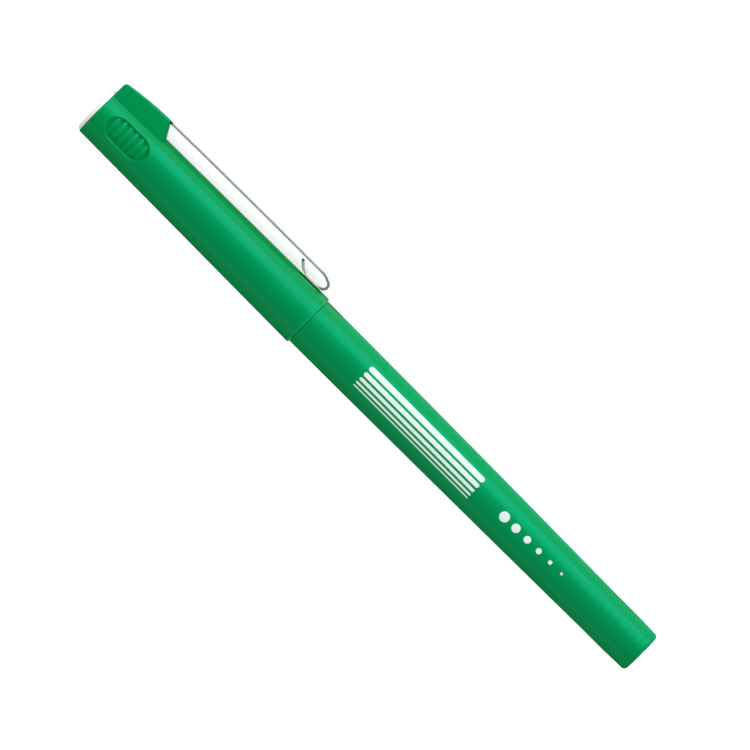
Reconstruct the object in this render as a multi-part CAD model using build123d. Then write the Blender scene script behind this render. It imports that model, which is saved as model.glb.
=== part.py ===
from build123d import *
import math
import os

# A capped fineliner pen. Lengths are in millimetres and angles in degrees.
# Every piece is drawn upright, with its axis on Z, the tail face at zero and the clip towards +X.
# At the end the pen is laid down along +X, on the edge of the boss that holds its clip.

# Fits and cuts
press_gap = 0.02            # radial room between pieces that are pressed together
running_gap = 0.04          # radial room between the cap and what it slides on
mouth_gap = 0.04            # cap mouth to barrel shoulder
cut_overrun = 3.0

# Cap
cap_length = 53.5
cap_mouth_radius = 5.36
cap_draft = 0.36            # radius lost from the mouth to the end
cap_wall = 0.89             # at the mouth
cap_mouth_round = 0.3
cap_end_round = 0.15
liner_wall = 1.4            # wall at the end, round the narrow bore for the crown and the inner cap
liner_bore_margin = 1.0     # narrow bore past the inner cap's mouth

# Crown plug and inner cap
crown_height = 0.7
crown_inset = 0.2
crown_edge_share = 0.85     # rounding of the crown's edge, of its height
crown_skirt_length = 5.0
crown_skirt_wall = 0.8
inner_cap_wall = 0.99
inner_cap_end_thickness = 1.0
inner_cap_nib_room = 1.2    # nib point to the inner cap's end
inner_cap_seal_length = 3.0

# Barrel
barrel_length = 83.11       # tail end to shoulder
barrel_edge_round = 0.06
shoulder_inset = 0.38       # shoulder inside the cap's outline
barrel_bulge = 0.09         # of the barrel's side between the posting land and the shoulder
lead_in_length = 3.6        # short cone that guides the cap onto the tail
lead_in_drop = 0.09
posting_land_length = 5.75  # straight part that the cap grips when it is put on the tail
neck_length = 16.3
neck_wall = 0.8
neck_bead_height = 0.18
neck_bead_width = 1.2
neck_bead_inset = 3.0       # bead centres from the shoulder and from the neck's front

# End plug
plug_inset = 0.02
plug_flange_thickness = 1.65
plug_edge_round = 0.75
plug_spigot_length = 6.0
plug_spigot_wall = 0.8
plug_rib_thickness = 0.9
plug_rib_reach = 1.5        # ribs past the spigot, up to the reservoir

# Front section, which holds the nib
section_insert_length = 12.0
section_flange_thickness = 1.2
section_flange_inset = 0.1
section_grip_inset = 0.4
section_throat_step = 0.4
section_collar_length = 4.0
section_nose_length = 2.5
section_nose_wall = 0.45
vent_groove_width = 0.7
vent_groove_depth = 0.35
vent_groove_count = 3

# Nib and its steel sleeve
nib_point_radius = 0.2
nib_exposed_length = 0.9
nib_feed_bite = 1.5         # nib inside the ink feed
sleeve_exposed_length = 5.0
sleeve_pipe_length = 3.0
sleeve_seat_length = 5.0
sleeve_pipe_radius = 0.55
sleeve_seat_radius = 1.0
sleeve_wall = 0.15

# Ink store
feed_radius = 1.25
feed_bite = 9.0             # ink feed inside the reservoir
wrap_thickness = 0.12

# Boss on the cap that carries the clip
boss_width = 6.5
boss_rise = 2.1             # above the cap's surface, at the crown
boss_top_climb = 0.96       # from the crown to where the clip leaves
boss_top_length = 10.4
boss_root_length = 12.1
boss_top_bulge = 0.2
boss_corner_round = 0.8
boss_side_round = 0.4

# Oval finger recess, one on each side of the cap
recess_offset = 7.35        # from the cap's end to the recess's middle
recess_depth = 0.66         # valleys between the ribs, under the cap's surface
recess_length = 9.75        # of the opening
recess_height = 4.7
recess_wall_slant = 38.0    # walls lean outwards
recess_rim_round = 0.22
rib_count = 6
rib_pitch = 1.44
rib_height = 0.36
rib_share = 0.8             # of the pitch, taken by the ribs' round tops

# Spring clip
clip_width = 3.6
clip_thickness = 0.5
clip_edge_round = 0.1
clip_sink = 0.07            # clip's face under the boss's top
clip_channel_gap = 0.15
clip_slot_gap = 0.3
clip_anchor_share = 0.22    # start of the straight strip, along the boss's top
clip_bend_run = 1.0
clip_bend_radius = 0.6
clip_leg_length = 2.0
clip_mouth_inset = 1.6      # curl's outer end to the cap's mouth
clip_rest_gap = 0.06        # curl to cap

# Rolled end of the clip
curl_drop = 2.32            # strip to the part that lies on the cap
curl_lead = 1.5
curl_nose_angle = 25.0
curl_fall_share = 0.35      # of the drop, down to the nose
curl_brow_radius = 3.0
curl_nose_share = 0.34      # nose radius, of the drop
curl_heel_share = 0.42      # heel radius, of the drop
curl_leg_length = 5.15
curl_toe_radius = 2.4
curl_tail_length = 2.26
curl_tail_angle = 45.0

# Radii, from the cap's outline inwards
cap_end_radius = cap_mouth_radius - cap_draft
cap_bore_radius = cap_mouth_radius - cap_wall
cap_grip_radius = cap_bore_radius - running_gap
liner_bore_radius = cap_end_radius - liner_wall
pressed_in_liner_radius = liner_bore_radius - press_gap
crown_radius = cap_end_radius - crown_inset
inner_cap_bore_radius = pressed_in_liner_radius - inner_cap_wall
barrel_shoulder_radius = cap_mouth_radius - shoulder_inset
barrel_tail_radius = cap_grip_radius - lead_in_drop
neck_radius = cap_grip_radius - neck_bead_height
barrel_bore_radius = neck_radius - neck_wall
pressed_in_barrel_radius = barrel_bore_radius - press_gap
reservoir_radius = pressed_in_barrel_radius - wrap_thickness - press_gap
plug_flange_radius = barrel_tail_radius - plug_inset
section_flange_radius = neck_radius - section_flange_inset
section_grip_radius = section_flange_radius - section_grip_inset
section_collar_radius = inner_cap_bore_radius - running_gap
section_throat_radius = section_collar_radius + section_throat_step
sleeve_bore_in_section = sleeve_seat_radius + press_gap
section_nose_radius = sleeve_bore_in_section + section_nose_wall
feed_bore_radius = feed_radius + press_gap
pipe_bore_radius = sleeve_pipe_radius - sleeve_wall

# Heights of the boss above the pen's axis
boss_end_height = cap_end_radius + boss_rise
boss_exit_height = boss_end_height + boss_top_climb

# Stations along the pen, from the tail face
barrel_tail = plug_flange_thickness
posting_land_back = barrel_tail + lead_in_length
posting_land_front = posting_land_back + posting_land_length
shoulder = barrel_tail + barrel_length
neck_front = shoulder + neck_length
cap_mouth = shoulder + mouth_gap
cap_end = cap_mouth + cap_length
crown_face = cap_end + crown_height
inner_cap_back = cap_end - crown_skirt_length
inner_cap_floor = inner_cap_back - inner_cap_end_thickness
nib_point = inner_cap_floor - inner_cap_nib_room
sleeve_front = nib_point - nib_exposed_length
section_front = sleeve_front - sleeve_exposed_length
sleeve_back = section_front - sleeve_seat_length
collar_front = section_front - section_nose_length
collar_back = collar_front - section_collar_length
flange_front = neck_front + section_flange_thickness
section_back = neck_front - section_insert_length
inner_cap_mouth = collar_front - inner_cap_seal_length
liner_bore_mouth = inner_cap_mouth - liner_bore_margin
plug_spigot_front = barrel_tail + plug_spigot_length
reservoir_back = plug_spigot_front + plug_rib_reach
feed_back = section_back - feed_bite


def turned(*outline):
    """Solid of revolution about Z from (radius, height) corners."""
    return revolve(Plane.XZ * make_face(Polyline(*outline, close=True)), Axis.Z)


def rod(radius, back, front):
    return turned((0, back), (radius, back), (radius, front), (0, front))


def tube(radius, bore, back, front):
    return turned((bore, back), (radius, back), (radius, front), (bore, front))


def cap_radius(height):
    """Outer radius of the tapered cap at a height."""
    return cap_end_radius + (cap_mouth_radius - cap_end_radius) * (cap_end - height) / cap_length


def rim(solid, radius, height):
    """The circular edge of a turned solid at a radius and height."""
    return solid.edges().filter_by(GeomType.CIRCLE).sort_by_distance((radius, 0, height))[0]


def make_end_plug():
    plug = rod(plug_flange_radius, 0, barrel_tail)
    plug = fillet(rim(plug, plug_flange_radius, 0), plug_edge_round)
    spigot_bore = pressed_in_barrel_radius - plug_spigot_wall
    plug += tube(pressed_in_barrel_radius, spigot_bore, barrel_tail, plug_spigot_front)
    rib_span = 2 * spigot_bore + plug_spigot_wall
    rib = Box(rib_span, plug_rib_thickness, reservoir_back - barrel_tail)
    rib = Pos(0, 0, (barrel_tail + reservoir_back) / 2) * rib
    return plug + rib + rib.rotate(Axis.Z, 90)


def make_barrel():
    land_front = (cap_grip_radius, posting_land_front)
    shoulder_corner = (barrel_shoulder_radius, shoulder)
    pull_radius = (cap_grip_radius + barrel_shoulder_radius) / 2 + 2 * barrel_bulge
    side = Bezier(shoulder_corner, (pull_radius, (shoulder + posting_land_front) / 2), land_front)
    sides = Polyline(
        land_front,
        (cap_grip_radius, posting_land_back),
        (barrel_tail_radius, barrel_tail),
        (barrel_bore_radius, barrel_tail),
        (barrel_bore_radius, neck_front),
        (neck_radius, neck_front),
        (neck_radius, shoulder),
        shoulder_corner,
    )
    barrel = revolve(Plane.XZ * make_face([side, sides]), Axis.Z)
    tail_rim = rim(barrel, barrel_tail_radius, barrel_tail)
    shoulder_rim = rim(barrel, barrel_shoulder_radius, shoulder)
    barrel = fillet([tail_rim, shoulder_rim], barrel_edge_round)
    bead = Ellipse(neck_bead_height, neck_bead_width / 2)
    for height in (shoulder + neck_bead_inset, neck_front - neck_bead_inset):
        barrel += revolve(Plane.XZ * Pos(neck_radius, height) * bead, Axis.Z)
    return barrel


def make_front_section():
    section = turned(
        (feed_bore_radius, section_back),
        (pressed_in_barrel_radius, section_back),
        (pressed_in_barrel_radius, neck_front),
        (section_flange_radius, neck_front),
        (section_flange_radius, flange_front),
        (section_grip_radius, flange_front),
        (section_throat_radius, collar_back),
        (section_collar_radius, collar_back),
        (section_collar_radius, collar_front),
        (section_nose_radius, section_front),
        (sleeve_bore_in_section, section_front),
        (sleeve_bore_in_section, sleeve_back),
        (feed_bore_radius, sleeve_back),
    )
    groove = Box(2 * vent_groove_depth, vent_groove_width, section_insert_length)
    groove = Pos(pressed_in_barrel_radius, 0, (section_back + neck_front) / 2) * groove
    for turn in range(vent_groove_count):
        section -= groove.rotate(Axis.Z, turn * 360 / vent_groove_count)
    return section


def make_nib_sleeve():
    pipe_back = sleeve_front - sleeve_pipe_length
    seat_bore_radius = sleeve_seat_radius - sleeve_wall
    return turned(
        (seat_bore_radius, sleeve_back),
        (sleeve_seat_radius, sleeve_back),
        (sleeve_seat_radius, section_front),
        (sleeve_pipe_radius, pipe_back),
        (sleeve_pipe_radius, sleeve_front),
        (pipe_bore_radius, sleeve_front),
        (pipe_bore_radius, pipe_back),
        (seat_bore_radius, section_front),
    )


def make_nib():
    nib_back = sleeve_back - nib_feed_bite
    stem_radius = pipe_bore_radius - press_gap
    nib = turned(
        (0, nib_back),
        (stem_radius, nib_back),
        (stem_radius, sleeve_front),
        (nib_point_radius, nib_point),
        (0, nib_point),
    )
    return fillet(rim(nib, nib_point_radius, nib_point), nib_point_radius / 2)


def make_ink_feed():
    socket = rod(pipe_bore_radius, sleeve_back - nib_feed_bite, sleeve_back + cut_overrun)
    return rod(feed_radius, feed_back, sleeve_back) - socket


def make_ink_reservoir():
    socket = rod(feed_bore_radius, feed_back, section_back + cut_overrun)
    return rod(reservoir_radius, reservoir_back, section_back) - socket


def make_reservoir_wrap():
    wrap_bore_radius = pressed_in_barrel_radius - wrap_thickness
    return tube(pressed_in_barrel_radius, wrap_bore_radius, reservoir_back, section_back)


def boss_top():
    """Arc of the boss's top in the clip's plane, from the crown to where the clip leaves."""
    crown_corner = (boss_end_height, cap_end)
    exit_corner = (boss_exit_height, cap_end - boss_top_length)
    return SagittaArc(crown_corner, exit_corner, boss_top_bulge)


def under_boss_top(share, depth):
    """Point that lies a depth under the boss's top, at a share of its length from the crown."""
    top = boss_top()
    point = top @ share
    return point + (top.arc_center - point).normalized() * depth


def clip_plane_solid(outline, width):
    """Extrude a closed outline in the clip's plane to both sides of it."""
    return extrude(Plane.XZ * make_face(outline), width / 2, both=True)


def make_boss():
    top = boss_top()
    root = cap_end - boss_root_length
    sides = Polyline(top @ 1, (cap_radius(root), root), (0, root), (0, cap_end), top @ 0)
    boss_face = make_face([top, sides])
    crown_corner = boss_face.vertices().sort_by_distance(top @ 0)[0]
    boss_face = fillet(crown_corner, boss_corner_round)
    boss = extrude(Plane.XZ * boss_face, boss_width / 2, both=True)
    return fillet(boss.edges().filter_by(GeomType.CIRCLE), boss_side_round)


def clip_leg_corner():
    """Corner of the clip where its strip turns down into the slot, and where it hinges."""
    strip = clip_strip()
    return strip @ 0 - (strip % 0) * clip_bend_run


def clip_strip():
    """Middle line of the clip's strip in the boss's channel."""
    depth = clip_sink + clip_thickness / 2
    middle_share = (clip_anchor_share + 1) / 2
    return ThreePointArc(*[under_boss_top(share, depth) for share in (clip_anchor_share, middle_share, 1)])


def make_clip_channel():
    """Room in the boss for the clip: a channel that is open on top, and a slot for the bent leg."""
    depth = clip_sink + clip_thickness + clip_channel_gap
    middle_share = (clip_anchor_share + 1) / 2
    floor = ThreePointArc(*[under_boss_top(share, depth) for share in (clip_anchor_share, middle_share, 1)])
    corner = clip_leg_corner()
    slot_half = clip_thickness / 2 + clip_slot_gap
    clear_height = boss_exit_height + cut_overrun
    run_out = floor @ 1 + (floor % 1) * cut_overrun
    back = floor @ 0 - (floor % 0) * clip_bend_run
    outline = Polyline(
        floor @ 1,
        run_out,
        (clear_height, run_out.Y),
        (clear_height, back.Y),
        back,
        floor @ 0,
    )
    width = clip_width + 2 * clip_channel_gap
    channel = clip_plane_solid([floor, outline], width)
    slot_floor = corner.X - clip_leg_length - clip_slot_gap
    slot_outline = Polyline(
        (slot_floor, corner.Y - slot_half),
        (slot_floor, corner.Y + slot_half),
        (clear_height, corner.Y + slot_half),
        (clear_height, corner.Y - slot_half),
        close=True,
    )
    return channel + clip_plane_solid(slot_outline, width)


def make_recess_core():
    """What stays of the cap under its finger recesses: ribs and valleys that run round the pen."""
    middle = cap_end - recess_offset
    valley = cap_radius(middle) - recess_depth
    between = valley + rib_height * (1 - rib_share)
    waves = []
    for place in range(-rib_count, rib_count + 1):
        height = middle + place * rib_pitch / 2
        is_valley = (place + rib_count) % 2 == 0
        turning = valley if is_valley else valley + rib_height
        half_width = rib_pitch / 2 * (1 - rib_share if is_valley else rib_share)
        start, end = height - half_width, height + half_width
        waves.append(ThreePointArc((between, start), (turning, height), (between, end)))
    back, front = middle - recess_length, middle + recess_length
    sides = Polyline(waves[-1] @ 1, (between, front), (0, front), (0, back), (between, back), waves[0] @ 0)
    return revolve(Plane.XZ * make_face([*waves, sides]), Axis.Z)


def make_finger_recess():
    """Oval cut with slanted walls, on the +Y side of the cap."""
    middle = cap_end - recess_offset
    surface = cap_radius(middle)
    base = math.sqrt(surface ** 2 - recess_height ** 2 / 4) - recess_depth
    lean = math.tan(math.radians(recess_wall_slant))
    base_length = recess_length - 2 * (surface - base) * lean
    base_height = recess_height - 2 * recess_depth * lean
    base_plane = Plane(origin=(0, base, middle), x_dir=(0, 0, 1), z_dir=(0, 1, 0))
    oval = base_plane * SlotOverall(base_length, base_height)
    return extrude(oval, surface - base + cut_overrun, taper=-recess_wall_slant) - make_recess_core()


def on_cap_surface(edge):
    point = edge @ 0.5
    return math.isclose(math.hypot(point.X, point.Y), cap_radius(point.Z), abs_tol=press_gap)


def make_cap_shell():
    shell = turned((0, cap_mouth), (cap_mouth_radius, cap_mouth), (cap_end_radius, cap_end), (0, cap_end))
    shell = fillet(rim(shell, cap_mouth_radius, cap_mouth), cap_mouth_round)
    shell = fillet(rim(shell, cap_end_radius, cap_end), cap_end_round)
    shell += make_boss()
    shell -= make_clip_channel()
    recess = make_finger_recess()
    for side in (recess, recess.mirror(Plane.XZ)):
        hollowed = shell - side
        opening = new_edges(shell, side, combined=hollowed).filter_by(on_cap_surface)
        shell = fillet(opening, recess_rim_round)
    shell -= rod(cap_bore_radius, cap_mouth - cut_overrun, liner_bore_mouth)
    return shell - rod(liner_bore_radius, liner_bore_mouth, cap_end + cut_overrun)


def make_cap_crown():
    crown = rod(crown_radius, cap_end, crown_face)
    crown = fillet(rim(crown, crown_radius, crown_face), crown_edge_share * crown_height)
    skirt_bore = pressed_in_liner_radius - crown_skirt_wall
    return crown + tube(pressed_in_liner_radius, skirt_bore, inner_cap_back, cap_end)


def make_inner_cap():
    shell = rod(pressed_in_liner_radius, inner_cap_mouth, inner_cap_back)
    return shell - rod(inner_cap_bore_radius, inner_cap_mouth, inner_cap_floor)


def clip_line():
    """Middle line of the whole clip: bent leg, strip, free run and rolled end."""
    strip = clip_strip()
    corner = clip_leg_corner()
    leg = FilletPolyline((corner.X - clip_leg_length, corner.Y), corner, strip @ 0, radius=clip_bend_radius)
    curl_end = cap_mouth + clip_mouth_inset + clip_thickness / 2
    rest_height = cap_radius(curl_end) + clip_rest_gap + clip_thickness / 2
    nose_fall = curl_fall_share * curl_drop
    slope_run = nose_fall / math.tan(math.radians(curl_nose_angle))
    run_end = (rest_height + curl_drop, curl_end + slope_run + curl_lead)
    run = TangentArc(strip @ 1, run_end, tangent=strip % 1)
    brow = run @ 1 + (run % 1) * curl_lead
    toe_height = curl_end + curl_leg_length
    tail_angle = math.radians(curl_tail_angle)
    curl = FilletPolyline(
        run @ 1,
        brow,
        (brow.X - nose_fall, curl_end),
        (rest_height, curl_end),
        (rest_height, toe_height),
        (
            rest_height + curl_tail_length * math.sin(tail_angle),
            toe_height + curl_tail_length * math.cos(tail_angle),
        ),
        radius=[
            curl_brow_radius,
            curl_nose_share * curl_drop,
            curl_heel_share * curl_drop,
            curl_toe_radius,
        ],
    )
    return Wire([*leg.edges(), strip, run, *curl.edges()])


def make_pocket_clip():
    profile = trace(clip_line(), clip_thickness)
    clip = extrude(Plane.XZ * profile, clip_width / 2, both=True)
    side_edges = clip.edges().group_by(Axis.Y)
    return fillet(side_edges[0] + side_edges[-1], clip_edge_round)


def lying_plane():
    """Places the upright pen on a table: along +X, resting on the cap's mouth and the boss's edge."""
    edge_height = boss_exit_height - boss_side_round
    edge_side = boss_width / 2 - boss_side_round
    edge_reach = math.hypot(edge_height, edge_side)
    edge_angle = math.atan2(edge_side, edge_height)
    from_down = edge_angle + math.acos((cap_mouth_radius - boss_side_round) / edge_reach)
    clip_direction = (0, -math.sin(from_down), -math.cos(from_down))
    return Plane(origin=(0, 0, 0), x_dir=clip_direction, z_dir=(1, 0, 0))


makers = {
    "end_plug": make_end_plug,
    "barrel": make_barrel,
    "front_section": make_front_section,
    "nib_sleeve": make_nib_sleeve,
    "nib": make_nib,
    "ink_feed": make_ink_feed,
    "ink_reservoir": make_ink_reservoir,
    "reservoir_wrap": make_reservoir_wrap,
    "cap_shell": make_cap_shell,
    "cap_crown": make_cap_crown,
    "inner_cap": make_inner_cap,
    "pocket_clip": make_pocket_clip,
}

os.makedirs("parts", exist_ok=True)
table = lying_plane()
for name, make in makers.items():
    export_step(table * make(), f"parts/{name}.step")
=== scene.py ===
import math

import bmesh
import bpy
from mathutils import Matrix, Vector


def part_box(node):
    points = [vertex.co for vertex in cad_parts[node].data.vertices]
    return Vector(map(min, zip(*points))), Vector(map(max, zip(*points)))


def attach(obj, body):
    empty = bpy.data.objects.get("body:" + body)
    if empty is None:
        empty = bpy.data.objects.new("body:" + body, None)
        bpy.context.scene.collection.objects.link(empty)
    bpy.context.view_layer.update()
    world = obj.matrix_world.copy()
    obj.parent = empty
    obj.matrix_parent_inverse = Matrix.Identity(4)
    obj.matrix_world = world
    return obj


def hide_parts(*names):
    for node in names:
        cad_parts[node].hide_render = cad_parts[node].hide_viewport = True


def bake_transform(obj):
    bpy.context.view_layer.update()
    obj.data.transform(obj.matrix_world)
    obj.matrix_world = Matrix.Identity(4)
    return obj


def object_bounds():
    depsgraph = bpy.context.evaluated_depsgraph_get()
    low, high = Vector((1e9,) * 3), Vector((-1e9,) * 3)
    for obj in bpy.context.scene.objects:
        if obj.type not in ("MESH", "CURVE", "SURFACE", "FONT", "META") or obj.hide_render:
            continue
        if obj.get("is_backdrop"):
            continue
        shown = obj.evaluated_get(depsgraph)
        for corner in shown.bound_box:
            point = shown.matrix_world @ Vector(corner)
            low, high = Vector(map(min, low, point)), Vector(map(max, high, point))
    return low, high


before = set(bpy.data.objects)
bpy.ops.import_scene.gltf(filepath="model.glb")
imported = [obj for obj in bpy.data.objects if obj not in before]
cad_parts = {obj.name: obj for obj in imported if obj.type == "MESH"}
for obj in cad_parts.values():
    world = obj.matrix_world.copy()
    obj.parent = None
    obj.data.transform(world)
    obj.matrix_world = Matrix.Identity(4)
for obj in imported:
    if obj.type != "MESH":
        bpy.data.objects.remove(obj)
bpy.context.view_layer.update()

mm = 0.001

# The pen lies along +X. Its clip points to one side, and the photo looks square on to the clip's plane.
penAxis = Vector((1, 0, 0))
facing = Vector((0, -0.29163, 0.9565312))       # axis of the clip's hinge
clipAxis = penAxis.cross(facing)

# Where things are along the pen and how far they are from its axis, in mm, as in the solids
pen = {
    "length": 139.0,
    "landFront": 11.0, "landRadius": 4.43,
    "shoulder": 84.76, "shoulderRadius": 4.98,
    "bulge": 0.09,                  # of the barrel's side between the two
    "capMouth": 84.8, "mouthRadius": 5.36,
    "capEnd": 138.3, "endRadius": 5.0,
}
penMiddle = penAxis * pen["length"] / 2 * mm


def taper(x, x0, r0, x1, r1):
    return r0 + (r1 - r0) * (x - x0) / (x1 - x0)


def barrelRadius(x):
    along = taper(x, pen["landFront"], 0, pen["shoulder"], 1)
    straight = taper(along, 0, pen["landRadius"], 1, pen["shoulderRadius"])
    return straight + 4 * pen["bulge"] * along * (1 - along)


def capRadius(x):
    return taper(x, pen["capEnd"], pen["endRadius"], pen["capMouth"], pen["mouthRadius"])


def linear(hexCode):
    parts = [int(hexCode[i:i + 2], 16) / 255 for i in (1, 3, 5)]
    return [p / 12.92 if p <= 0.04045 else ((p + 0.055) / 1.055) ** 2.4 for p in parts] + [1.0]


def perMm(*lengths):
    return [1 / (length * mm) for length in lengths]


def addNode(tree, kind, values=None, links=None, **settings):
    node = tree.nodes.new("ShaderNode" + kind)
    for name, value in settings.items():
        setattr(node, name, value)
    for socket, value in (values or {}).items():
        node.inputs[socket].default_value = value
    for socket, source in (links or {}).items():
        tree.links.new(source, node.inputs[socket])
    return node


def startMaterial(name, values):
    material = bpy.data.materials.new(name)
    material.use_nodes = True
    tree = material.node_tree
    shader = tree.nodes["Principled BSDF"]
    for socket, value in values.items():
        shader.inputs[socket].default_value = value
    place = addNode(tree, "TexCoord").outputs["Object"]
    return material, tree, shader, place


noiseLow, noiseHigh = 0.3, 0.7      # nearly all values of a noise lie between these
patchDetail, lineDetail = 3.0, 4.0  # octaves of finer noise, in patches and in lines
mixFirst, mixSecond, mixResult = 6, 7, 2        # sockets of a Mix node that mixes colours


def streaks(tree, place, sizes, detail=patchDetail):
    stretched = addNode(tree, "Mapping", {"Scale": perMm(*sizes)}, {"Vector": place}).outputs[0]
    return addNode(tree, "TexNoise", {"Scale": 1.0, "Detail": detail}, {"Vector": stretched}).outputs[0]


# Painted light and shade: each limit of a painted patch is an axis and two places along it, in mm: where the
# patch starts and where it is full
def paintLightAndShade(tree, place, paintedPatch, colour):
    upTo = {}
    for axis, start, full in paintedPatch["where"]:
        along = addNode(tree, "VectorMath", {1: axis}, {0: place}, operation="DOT_PRODUCT").outputs["Value"]
        ends = {"From Min": start * mm, "From Max": full * mm}
        amount = addNode(tree, "MapRange", ends, {"Value": along, **upTo}).outputs[0]
        upTo = {"To Max": amount}   # the next limit only takes away from this
    tone = {mixSecond: linear(paintedPatch["tone"])}
    mixed = addNode(tree, "Mix", tone, {"Factor": amount, mixFirst: colour}, data_type="RGBA")
    return mixed.outputs[mixResult]


def finishMaterial(tree, shader, place, look, tint, wear, grain):
    first, second = [linear(tone) for tone in look["tones"]]
    mixed = addNode(tree, "Mix", {mixFirst: first, mixSecond: second}, {"Factor": tint}, data_type="RGBA")
    colour = mixed.outputs[mixResult]
    # Painted light and shade laid over the material's colour
    for paintedPatch in look.get("paintedLightAndShade", ()):
        colour = paintLightAndShade(tree, place, paintedPatch, colour)
    low, high = look["roughness"]
    ends = {"From Min": noiseLow, "From Max": noiseHigh, "To Min": low, "To Max": high}
    rough = addNode(tree, "MapRange", ends, {"Value": wear})
    bump = addNode(tree, "Bump", {"Strength": 1.0, "Distance": look["relief"] * mm}, {"Height": grain})
    tree.links.new(colour, shader.inputs["Base Color"])
    tree.links.new(rough.outputs[0], shader.inputs["Roughness"])
    tree.links.new(bump.outputs[0], shader.inputs["Normal"])


# Injection-moulded polypropylene: an even satin gloss, with faint streaks where the melt flowed along the
# mould. The pigment is so strong that even the highlights stay green, hence the tint.
greenLook = {
    "tones": ("#00833D", "#008C47"),
    "highlight": "#38FFED",
    "ior": 1.49,
    "flow": (16.0, 1.6, 1.6),       # mm, length and width of the flow streaks
    "touch": (5.0, 5.0, 5.0),       # mm, patches that fingers have polished
    "grain": (0.5, 0.5, 0.5),       # mm, the mould's texture, drawn coarser than real so that it shows
    "relief": 0.002,                # mm
    "roughness": (0.27, 0.33),
    "paintedLightAndShade": (
        # Painted shadow: a soft dark patch on the cap under the clip's curl, where the curl's contact shadow
        # falls
        {"tone": "#064A26", "where": ((penAxis, 85.8, 88.4), (penAxis, 92.6, 90.0), (clipAxis, 4.9, 5.32))},
        # Painted highlight: the lip of the cap's mouth a little lighter, where its rounded edge catches the
        # light
        {"tone": "#0A9956", "where": ((penAxis, 84.77, 84.8), (penAxis, 85.2, 85.05))},
    ),
}

# Moulded white polypropylene: a clean satin white, a little warm, with hardly any grain.
whiteLook = {
    "tones": ("#F1F1ED", "#F7F7F4"),
    "ior": 1.49,
    "flow": (3.0, 3.0, 3.0),
    "touch": (2.5, 2.5, 2.5),
    "grain": (0.4, 0.4, 0.4),
    "relief": 0.002,
    "roughness": (0.38, 0.46),
}

# Acetal of the nib holder: pale grey, harder and glossier than the white plug.
acetalLook = {
    "tones": ("#D6D6D2", "#DEDEDA"),
    "ior": 1.48,
    "flow": (8.0, 1.2, 1.2),
    "touch": (3.0, 3.0, 3.0),
    "grain": (0.35, 0.35, 0.35),
    "relief": 0.0015,
    "roughness": (0.26, 0.34),
}

# Polyethylene of the inner cap: soft, waxy and milky.
waxyLook = {
    "tones": ("#EDEDE6", "#F4F4EE"),
    "ior": 1.52,
    "flow": (4.0, 4.0, 4.0),
    "touch": (2.0, 2.0, 2.0),
    "grain": (0.6, 0.6, 0.6),
    "relief": 0.004,
    "roughness": (0.5, 0.6),
}


def moulding(name, look):
    material, tree, shader, place = startMaterial(name, {"IOR": look["ior"]})
    if "highlight" in look:
        shader.inputs["Specular Tint"].default_value = linear(look["highlight"])
    flow, touch, grain = [streaks(tree, place, look[kind]) for kind in ("flow", "touch", "grain")]
    finishMaterial(tree, shader, place, look, flow, touch, grain)
    return material


# Cold-rolled spring steel: rolling lines run along the strip and stretch the reflections.
rolledLook = {
    "tones": ("#B9BAB6", "#DCDDD9"),
    "metallic": 1.0,
    "lines": (9.0, 0.12, 0.12),     # mm, rolling lines, drawn wider than real so that they show
    "relief": 0.002,
    "roughness": (0.22, 0.34),
}

# The strip's sheared edges: the same steel, torn by the blade, so duller and darker, with short cross marks.
shearedLook = {
    "tones": ("#ACA69F", "#CDC7C0"),
    "metallic": 1.0,
    "lines": (0.25, 0.9, 0.9),
    "relief": 0.004,
    "roughness": (0.44, 0.56),
    "paintedLightAndShade": (
        # Painted shade, darker towards the curl's nose; painted highlight, a bright glint on the curl's heel
        {"tone": "#8E8C86", "where": ((penAxis, 90.0, 87.5),)},
        {"tone": "#FFF4EE", "where": ((penAxis, 87.4, 88.2), (penAxis, 91.6, 90.8), (clipAxis, 6.1, 5.9))},
        # Painted shade: dark at the strip's end and where it goes into the boss
        {"tone": "#2A2F2B", "where": ((penAxis, 92.9, 93.2), (clipAxis, 7.7, 7.4))},
        {"tone": "#1B241E", "where": ((penAxis, 127.0, 127.4),)},
    ),
}

# Extruded nib plastic, stained by the ink that it carries: matt and dark green.
nibLook = {
    "tones": ("#0E5A38", "#17774B"),
    "lines": (1.5, 0.12, 0.12),
    "relief": 0.004,
    "roughness": (0.5, 0.62),
}

# Polyester fibres soaked with ink: fine strands along the pen, matt and dark.
fibreLook = {
    "tones": ("#06452B", "#0E6440"),
    "lines": (12.0, 0.2, 0.2),
    "relief": 0.05,
    "roughness": (0.75, 0.9),
}

# Film wrapped round the fibres: thin and glossy, with the green showing through.
filmLook = {
    "tones": ("#A9C4B5", "#BBD0C4"),
    "lines": (20.0, 1.0, 1.0),
    "relief": 0.003,
    "roughness": (0.18, 0.26),
}


def lined(name, look):
    material, tree, shader, place = startMaterial(name, {"Metallic": look.get("metallic", 0.0)})
    lines = streaks(tree, place, look["lines"], lineDetail)
    finishMaterial(tree, shader, place, look, lines, lines, lines)
    return material


# Pad-printed ink: a thin matt white coat with pinholes, through which a little green shows.
inkLook = {
    "tones": ("#B9D6C6", "#DCE8E1"),
    "shine": 0.15,                  # specular level
    "specks": (0.3, 0.3, 0.3),      # mm, pinholes, drawn larger than real so that they show
    "coat": (0.30, 0.42),           # noise at which the coat is thin and at which it is full
    "relief": 0.003,
    "roughness": (0.5, 0.6),
}


def printed(name, look):
    material, tree, shader, place = startMaterial(name, {"Specular IOR Level": look["shine"]})
    specks = streaks(tree, place, look["specks"])
    thin, full = look["coat"]
    coat = addNode(tree, "MapRange", {"From Min": thin, "From Max": full}, {"Value": specks}).outputs[0]
    finishMaterial(tree, shader, place, look, coat, specks, specks)
    return material


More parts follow.
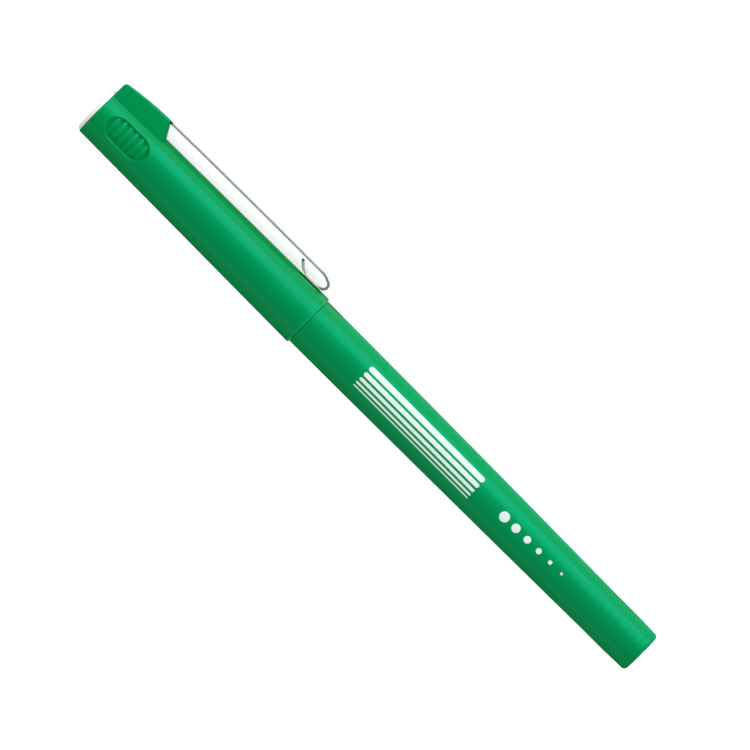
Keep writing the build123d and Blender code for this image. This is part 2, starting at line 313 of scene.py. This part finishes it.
greenPlastic = moulding("greenPolypropylene", greenLook)
rolledSteel = lined("rolledSpringSteel", rolledLook)
shearedSteel = lined("shearedSteelEdge", shearedLook)
whiteInk = printed("padPrintedInk", inkLook)
dressing = {
    "barrel": greenPlastic,
    "end_plug": greenPlastic,
    "cap_shell": greenPlastic,
    "cap_crown": moulding("whitePolypropylene", whiteLook),
    "inner_cap": moulding("milkyPolyethylene", waxyLook),
    "front_section": moulding("greyAcetal", acetalLook),
    "nib_sleeve": lined("drawnSteelTube", rolledLook),
    "nib": lined("inkStainedNib", nibLook),
    "ink_feed": lined("inkFibreFeed", fibreLook),
    "ink_reservoir": lined("inkFibreStore", fibreLook),
    "reservoir_wrap": lined("glossyFilm", filmLook),
}
for node, material in dressing.items():
    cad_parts[node].data.materials[0] = material
print("dressed", len(dressing), "solids")


def newPiece(name, shape, materials):
    mesh = bpy.data.meshes.new(name)
    shape.to_mesh(mesh)
    shape.free()
    for material in materials:
        mesh.materials.append(material)
    piece = bpy.data.objects.new(name, mesh)
    bpy.context.scene.collection.objects.link(piece)
    return piece


def only(kind, parts):
    return [part for part in parts if isinstance(part, kind)]


# Clip: one strip of steel, hooked into the boss, that runs along the cap and curls back on itself. In mm.
clip = {
    "width": 3.6,
    "thickness": 0.5,
    "edgeRound": 0.1,
    "edgeSteps": 3,
    "sharpAngle": 50.0,             # degrees, sharper edges are rounded
    "bossEnd": 7.1,                 # height of the boss over the axis at the crown
    "bossExit": 8.06,               # and where the clip leaves it
    "bossTop": 10.4,                # length of the boss's top
    "bossBulge": 0.2,               # and how far it bulges
    "sink": 0.07,                   # strip's face under the boss's top
    "anchorShare": 0.22,            # of the boss's top, between the crown and the strip's arc
    "bendRun": 1.0,                 # straight from that arc to the bend
    "bendRadius": 0.6,
    "leg": 2.0,                     # bent down into the boss
    "mouthInset": 1.6,              # curl's outer end from the cap's mouth
    "restGap": 0.06,                # curl over the cap
    "drop": 2.32,                   # height of the curl
    "lead": 1.5,                    # straight into the curl
    "noseAngle": 25.0,              # degrees, slope from the brow to the nose
    "fallShare": 0.35,              # of the drop, on that slope
    "browRadius": 3.0,
    "noseShare": 0.34,              # radii of nose and heel, of the drop
    "heelShare": 0.42,
    "curlLeg": 5.15,                # from the heel to the toe, along the cap
    "toeRadius": 2.4,
    "tail": 2.26,                   # strip's end, which stands up again
    "tailAngle": 45.0,              # degrees
    "bendReach": 24.0,              # length of the strip that flexes when the real clip is lifted
    "cornerReach": 0.07,            # a corner's edge lies this close to it
    "stripSteps": 8,
    "runSteps": 30,
    "cornerSteps": 10,
}


def inClipPlane(place):
    return (penAxis * place.x + clipAxis * place.y) * mm


def quarterTurn(way):
    return Vector((-way.y, way.x))


def growTo(shape, last, place):
    grown = bmesh.ops.extrude_vert_indiv(shape, verts=[last])["verts"][0]
    grown.co = inClipPlane(place)
    return grown


def growArc(shape, last, centre, angle, steps):
    spun = bmesh.ops.spin(shape, geom=[last], cent=inClipPlane(centre), axis=facing,
                          angle=-angle, steps=steps)
    return only(bmesh.types.BMVert, spun["geom_last"])[0]


def roundCorner(shape, before, corner, after, radius):
    place = inClipPlane(corner)
    near = clip["cornerReach"] * mm
    edges = [e for e in shape.edges if ((e.verts[0].co + e.verts[1].co) / 2 - place).length < near]
    turn = (corner - before).angle(after - corner)
    bmesh.ops.bevel(shape, geom=edges, offset=radius * math.tan(turn / 2) * mm, offset_type="OFFSET",
                    segments=clip["cornerSteps"], profile=0.5, affect="EDGES", material=-1)


def makeClip():
    half = clip["thickness"] / 2
    # Arc of the boss's top, and the strip's arc just under it
    crownCorner = Vector((pen["capEnd"], clip["bossEnd"]))
    exitCorner = Vector((pen["capEnd"] - clip["bossTop"], clip["bossExit"]))
    chord = exitCorner - crownCorner
    topRadius = (chord.length ** 2 / 4 + clip["bossBulge"] ** 2) / (2 * clip["bossBulge"])
    inwards = quarterTurn(chord.normalized())
    centre = (crownCorner + exitCorner) / 2 + inwards * (topRadius - clip["bossBulge"])
    sweep = (crownCorner - centre).angle(exitCorner - centre)
    stripRadius = topRadius - clip["sink"] - half
    startWay = Matrix.Rotation(clip["anchorShare"] * sweep, 2) @ (crownCorner - centre).normalized()
    stripStart = centre + startWay * stripRadius
    hook = stripStart - quarterTurn(startWay) * clip["bendRun"]
    legEnd = hook - Vector((0, clip["leg"]))

    # Free run from the boss to the curl, tangent to the strip
    curlEnd = pen["capMouth"] + clip["mouthInset"] + half
    rest = capRadius(curlEnd) + clip["restGap"] + half
    fall = clip["fallShare"] * clip["drop"]
    slopeRun = fall / math.tan(math.radians(clip["noseAngle"]))
    exitWay = (exitCorner - centre).normalized()
    stripEnd = centre + exitWay * stripRadius
    runEnd = Vector((curlEnd + slopeRun + clip["lead"], rest + clip["drop"]))
    reach = runEnd - stripEnd
    runRadius = reach.length_squared / (-2 * reach.dot(exitWay))
    runCentre = stripEnd - exitWay * runRadius
    runSweep = (stripEnd - runCentre).angle(runEnd - runCentre)

    # Corners of the curl
    brow = runEnd + quarterTurn((runEnd - runCentre).normalized()) * clip["lead"]
    nose = Vector((curlEnd, brow.y - fall))
    heel = Vector((curlEnd, rest))
    toe = Vector((curlEnd + clip["curlLeg"], rest))
    tailTurn = math.radians(clip["tailAngle"])
    tail = toe + Vector((math.cos(tailTurn), math.sin(tailTurn))) * clip["tail"]

    # The strip's line, drawn out to its width and rounded at its corners
    shape = bmesh.new()
    last = shape.verts.new(inClipPlane(legEnd))
    for place in (hook, stripStart):
        last = growTo(shape, last, place)
    last = growArc(shape, last, centre, (1 - clip["anchorShare"]) * sweep, clip["stripSteps"])
    last = growArc(shape, last, runCentre, runSweep, clip["runSteps"])
    for place in (brow, nose, heel, toe, tail):
        last = growTo(shape, last, place)
    bmesh.ops.translate(shape, vec=facing * (-clip["width"] / 2 * mm), verts=shape.verts)
    across = bmesh.ops.extrude_edge_only(shape, edges=shape.edges)["geom"]
    bmesh.ops.translate(shape, vec=facing * clip["width"] * mm, verts=only(bmesh.types.BMVert, across))
    roundCorner(shape, legEnd, hook, stripStart, clip["bendRadius"])
    roundCorner(shape, runEnd, brow, nose, clip["browRadius"])
    roundCorner(shape, brow, nose, heel, clip["noseShare"] * clip["drop"])
    roundCorner(shape, nose, heel, toe, clip["heelShare"] * clip["drop"])
    roundCorner(shape, heel, toe, tail, clip["toeRadius"])
    bmesh.ops.recalc_face_normals(shape, faces=shape.faces)
    for face in shape.faces:
        face.smooth = True

    piece = newPiece("clipStrip", shape, [rolledSteel, shearedSteel])
    wall = piece.modifiers.new("stripThickness", "SOLIDIFY")
    wall.thickness = clip["thickness"] * mm
    wall.offset = 0.0
    wall.use_even_offset = True
    wall.material_offset_rim = 1
    soft = piece.modifiers.new("softEdges", "BEVEL")
    soft.width = clip["edgeRound"] * mm
    soft.segments = clip["edgeSteps"]
    soft.limit_method = "ANGLE"
    soft.angle_limit = math.radians(clip["sharpAngle"])
    soft.harden_normals = True
    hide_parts("pocket_clip")
    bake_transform(piece)


makeClip()
print("bent the clip")


# Print on the side of the barrel that the camera sees: lines of falling weight and a row of dots. In mm.
printMarks = {
    "lift": 0.012,                  # face of the ink over the barrel
    "coat": 0.03,
    "cutEvery": 0.25,               # the marks are cut this wide to bend round the barrel
    "cutAlong": 2.0,                # and this long to follow its bulge
    "linesFrom": 42.0,
    "linesLength": 29.0,
    "lineWeights": (1.15, 0.85, 0.6, 0.4, 0.25),
    "lineGap": 0.45,
    "endShare": 0.49,               # of a line's weight, rounding of its ends
    "dotsFrom": 20.4,
    "dotPitch": 2.9,
    "dotWidths": (0.5, 0.8, 1.1, 1.4, 1.7, 2.0),
    "roundSteps": 6,
}


def onBarrel(flat):
    radius = barrelRadius(flat.x) + printMarks["lift"]
    angle = flat.y / radius
    return (penAxis * flat.x + (facing * math.cos(angle) + clipAxis * math.sin(angle)) * radius) * mm


def addRectangle(shape, middle, size):
    corners = bmesh.ops.create_grid(shape, x_segments=1, y_segments=1, size=0.5)["verts"]
    bmesh.ops.scale(shape, vec=(*size, 1), verts=corners)
    bmesh.ops.translate(shape, vec=middle, verts=corners)
    return corners


def addLine(shape, x, y, length, weight):
    corners = addRectangle(shape, (x + length / 2, y, 0), (length, weight))
    bmesh.ops.bevel(shape, geom=corners, offset=weight * printMarks["endShare"], offset_type="OFFSET",
                    segments=printMarks["roundSteps"], profile=0.5, affect="VERTICES", material=-1)


def addDot(shape, x, width):
    bmesh.ops.create_circle(shape, cap_ends=True, segments=4 * printMarks["roundSteps"], radius=width / 2,
                            matrix=Matrix.Translation((x, 0, 0)))


def cutUp(shape, way, first, last, spacing):
    for cut in range(math.ceil((last - first) / spacing) + 1):
        everything = [*shape.verts, *shape.edges, *shape.faces]
        bmesh.ops.bisect_plane(shape, geom=everything, plane_co=way * (first + cut * spacing), plane_no=way)


def makePrint():
    marks = printMarks
    # Laid out flat, with x along the pen and y round it
    shape = bmesh.new()
    tall = sum(marks["lineWeights"]) + marks["lineGap"] * (len(marks["lineWeights"]) - 1)
    top = tall / 2
    for weight in marks["lineWeights"]:
        addLine(shape, marks["linesFrom"], top - weight / 2, marks["linesLength"], weight)
        top -= weight + marks["lineGap"]
    for place, width in enumerate(marks["dotWidths"]):
        addDot(shape, marks["dotsFrom"] + place * marks["dotPitch"], width)
    linesEnd = marks["linesFrom"] + marks["linesLength"]
    cutUp(shape, Vector((0, 1, 0)), -tall / 2, tall / 2, marks["cutEvery"])
    cutUp(shape, Vector((1, 0, 0)), marks["linesFrom"], linesEnd, marks["cutAlong"])

    # And bent round the barrel
    for vert in shape.verts:
        vert.co = onBarrel(vert.co)
    bmesh.ops.reverse_faces(shape, faces=shape.faces)
    for edge in shape.edges:
        edge.smooth = not edge.is_boundary
    for face in shape.faces:
        face.smooth = True
    piece = newPiece("barrelPrint", shape, [whiteInk])
    coat = piece.modifiers.new("inkCoat", "SOLIDIFY")
    coat.thickness = marks["coat"] * mm
    coat.offset = -1.0
    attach(piece, "pen")


makePrint()
print("printed the barrel")


# Photo's view: square on to the clip's plane, from a long way off, with the pen on the picture's diagonal
cameraSetup = {
    "shiftRight": 1.17,             # mm, picture's centre from the pen's middle
    "shiftUp": 1.06,
    "field": 135.2,                 # mm, width of the picture at the pen
    "lens": 500.0,                  # mm, as is the sensor
    "sensor": 36.0,
    "sight": 10.0,                  # m, how far the camera sees
}


def makeCamera():
    setup = cameraSetup
    right = (clipAxis - penAxis).normalized()
    up = (clipAxis + penAxis).normalized()
    target = penAxis * pen["length"] / 2 + right * setup["shiftRight"] + up * setup["shiftUp"]
    distance = setup["field"] * setup["lens"] / setup["sensor"]
    data = bpy.data.cameras.new("photoCamera")
    data.lens = setup["lens"]
    data.sensor_width = setup["sensor"]
    data.clip_end = setup["sight"]
    camera = bpy.data.objects.new("photoCamera", data)
    turn = Matrix((right, up, facing)).transposed().to_4x4()
    camera.matrix_world = Matrix.Translation((target + facing * distance) * mm) @ turn
    bpy.context.scene.collection.objects.link(camera)
    bpy.context.scene.camera = camera


# Studio: a large softbox on the clip's side, a slim one below it that reflections don't see, two weak ones,
# an even room and a white table. Reflections alone see a dim screen that arches from the lens to the far
# side, and two sheets on the table on the clip's side. They keep the plastic's gloss as deep as in the photo.
# Sizes in metres, turns in degrees from the lens towards the clip.
sheetsMeet = 0.081                  # place along the pen, near the cap's mouth
studio = {
    "roomLevel": 0.62,
    "lamps": {
        "keySoftbox": {"turn": 51.0, "distance": 0.55, "size": (0.5, 0.44),
                       "power": 1.85, "colour": "#EFFFFB"},
        "lowSoftbox": {"turn": 69.0, "distance": 0.55, "size": (0.5, 0.08),
                       "power": 0.78, "colour": "#CCF2FF", "reflected": False},
        "topSoftbox": {"turn": -24.0, "distance": 0.6, "size": (0.6, 0.35),
                       "power": 0.3, "colour": "#FFFFFF"},
        "farSoftbox": {"turn": -72.0, "distance": 0.6, "size": (0.9, 0.4),
                       "power": 0.55, "colour": "#FFFFFF"},
    },
    "screen": {"turns": (4.0, -107.0), "distance": 0.8, "length": 2.4, "foot": 0.002, "steps": 24,
               "level": 0.07, "colour": "#70FFD8"},
    # The sheets are darker near the pen: level there, level further off, and where the one fades to the other
    "sheetReach": 0.7,
    "sheetGap": 0.0003,
    "frontSheets": {
        "barrelSheet": {"span": (-1.2, sheetsMeet), "level": 0.55, "farLevel": 1.4, "fade": (0.004, 0.014),
                        "colour": "#8CF8F0"},
        "capSheet": {"span": (sheetsMeet, 1.2), "level": 0.12, "farLevel": 1.0, "fade": (0.0072, 0.0098),
                     "colour": "#FFFFFF"},
    },
    "tableSize": 3.0,
    "tableColour": "#F4F4F4",
    "tableRoughness": 0.9,
    "tableLift": 0.62,              # share of white that the eye alone gets from the table
}


def awayFromPen(turn):
    return facing * math.cos(math.radians(turn)) + clipAxis * math.sin(math.radians(turn))


def addSoftbox(name, setup):
    data = bpy.data.lights.new(name, "AREA")
    data.shape = "RECTANGLE"
    data.size, data.size_y = setup["size"]
    data.energy = setup["power"]
    data.color = linear(setup["colour"])[:3]
    lamp = bpy.data.objects.new(name, data)
    direction = awayFromPen(setup["turn"])
    turned = Matrix((penAxis, direction.cross(penAxis), direction)).transposed().to_4x4()
    lamp.matrix_world = Matrix.Translation(penMiddle + direction * setup["distance"]) @ turned
    lamp.visible_camera = False
    lamp.visible_glossy = setup.get("reflected", True)
    bpy.context.scene.collection.objects.link(lamp)


def stageSheet(name, shape, material):
    sheet = newPiece(name, shape, [material])
    sheet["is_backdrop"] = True
    return sheet


def layOnTable(shape):
    # The pen rests on its cap's mouth and on its tail, so the table leans a little
    capLow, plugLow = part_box("cap_shell")[0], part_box("end_plug")[0]
    lean = math.atan2(plugLow.z - capLow.z, capLow.x - plugLow.x)
    bmesh.ops.translate(shape, vec=(0, 0, capLow.z), verts=shape.verts)
    bmesh.ops.rotate(shape, cent=capLow, matrix=Matrix.Rotation(lean, 3, "Y"), verts=shape.verts)


def addScreen(name, shape, setup):
    glow = {"Base Color": linear("#000000"), "Specular IOR Level": 0.0,
            "Emission Color": linear(setup["colour"]), "Emission Strength": setup["level"]}
    material, tree, shader, place = startMaterial(name, glow)
    if "fade" in setup:
        near, far = setup["fade"]
        ends = {"From Min": -near, "From Max": -far, "To Min": setup["level"], "To Max": setup["farLevel"]}
        away = addNode(tree, "SeparateXYZ", links={0: place}).outputs["Y"]
        level = addNode(tree, "MapRange", ends, {"Value": away})
        tree.links.new(level.outputs[0], shader.inputs["Emission Strength"])
    screen = stageSheet(name, shape, material)
    screen.visible_camera = False
    screen.visible_diffuse = False
    screen.visible_shadow = False


def makeScreens():
    setup = studio["screen"]
    first, last = setup["turns"]
    start = penMiddle + awayFromPen(first) * setup["distance"]
    shape = bmesh.new()
    ends = [shape.verts.new(start + penAxis * side * setup["length"] / 2) for side in (-1, 1)]
    edge = shape.edges.new(ends)
    arch = bmesh.ops.spin(shape, geom=[*ends, edge], cent=(0, 0, 0), axis=penAxis,
                          angle=math.radians(last - first), steps=setup["steps"])
    # From the foot of the arch it comes back over the table, almost to the pen
    low = only(bmesh.types.BMEdge, arch["geom_last"])
    apron = bmesh.ops.extrude_edge_only(shape, edges=low)["geom"]
    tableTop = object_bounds()[0].z
    for vert in only(bmesh.types.BMVert, apron):
        vert.co.y, vert.co.z = setup["foot"], tableTop + setup["foot"]
    addScreen("greyScreen", shape, setup)

    # Two more lie on the table on the clip's side
    reach, gap = studio["sheetReach"], studio["sheetGap"]
    for name, sheet in studio["frontSheets"].items():
        start, end = sheet["span"]
        shape = bmesh.new()
        addRectangle(shape, ((start + end) / 2, -reach / 2, gap), (end - start, reach))
        layOnTable(shape)
        addScreen(name, shape, sheet)


def seenDirectly(tree):
    rays = addNode(tree, "LightPath").outputs
    seen = rays["Is Camera Ray"]
    for kind in ("Is Glossy Ray", "Is Transmission Ray"):
        seen = addNode(tree, "Math", links={0: seen, 1: rays[kind]}, operation="MAXIMUM").outputs[0]
    return seen


def makeRoom():
    world = bpy.data.worlds.new("studioRoom")
    world.use_nodes = True
    bpy.context.scene.world = world
    tree = world.node_tree
    ends = {"To Min": studio["roomLevel"], "To Max": 1.0}
    level = addNode(tree, "MapRange", ends, {"Value": seenDirectly(tree)})
    background = tree.nodes["Background"]
    background.inputs["Color"].default_value = linear("#FFFFFF")
    tree.links.new(level.outputs[0], background.inputs["Strength"])


def makeTable():
    paint = {"Base Color": linear(studio["tableColour"]), "Roughness": studio["tableRoughness"],
             "Specular IOR Level": 0.0, "Emission Color": linear("#FFFFFF")}
    material, tree, shader = startMaterial("paintedTable", paint)[:3]
    lift = addNode(tree, "Math", {1: studio["tableLift"]}, {0: seenDirectly(tree)}, operation="MULTIPLY")
    tree.links.new(lift.outputs[0], shader.inputs["Emission Strength"])
    shape = bmesh.new()
    addRectangle(shape, (0, 0, 0), (studio["tableSize"], studio["tableSize"]))
    layOnTable(shape)
    stageSheet("table", shape, material)


makeCamera()
makeRoom()
makeTable()
makeScreens()
for name, setup in studio["lamps"].items():
    addSoftbox(name, setup)
bpy.context.scene.view_settings.view_transform = "Standard"
print("set up camera, room, table and lights")
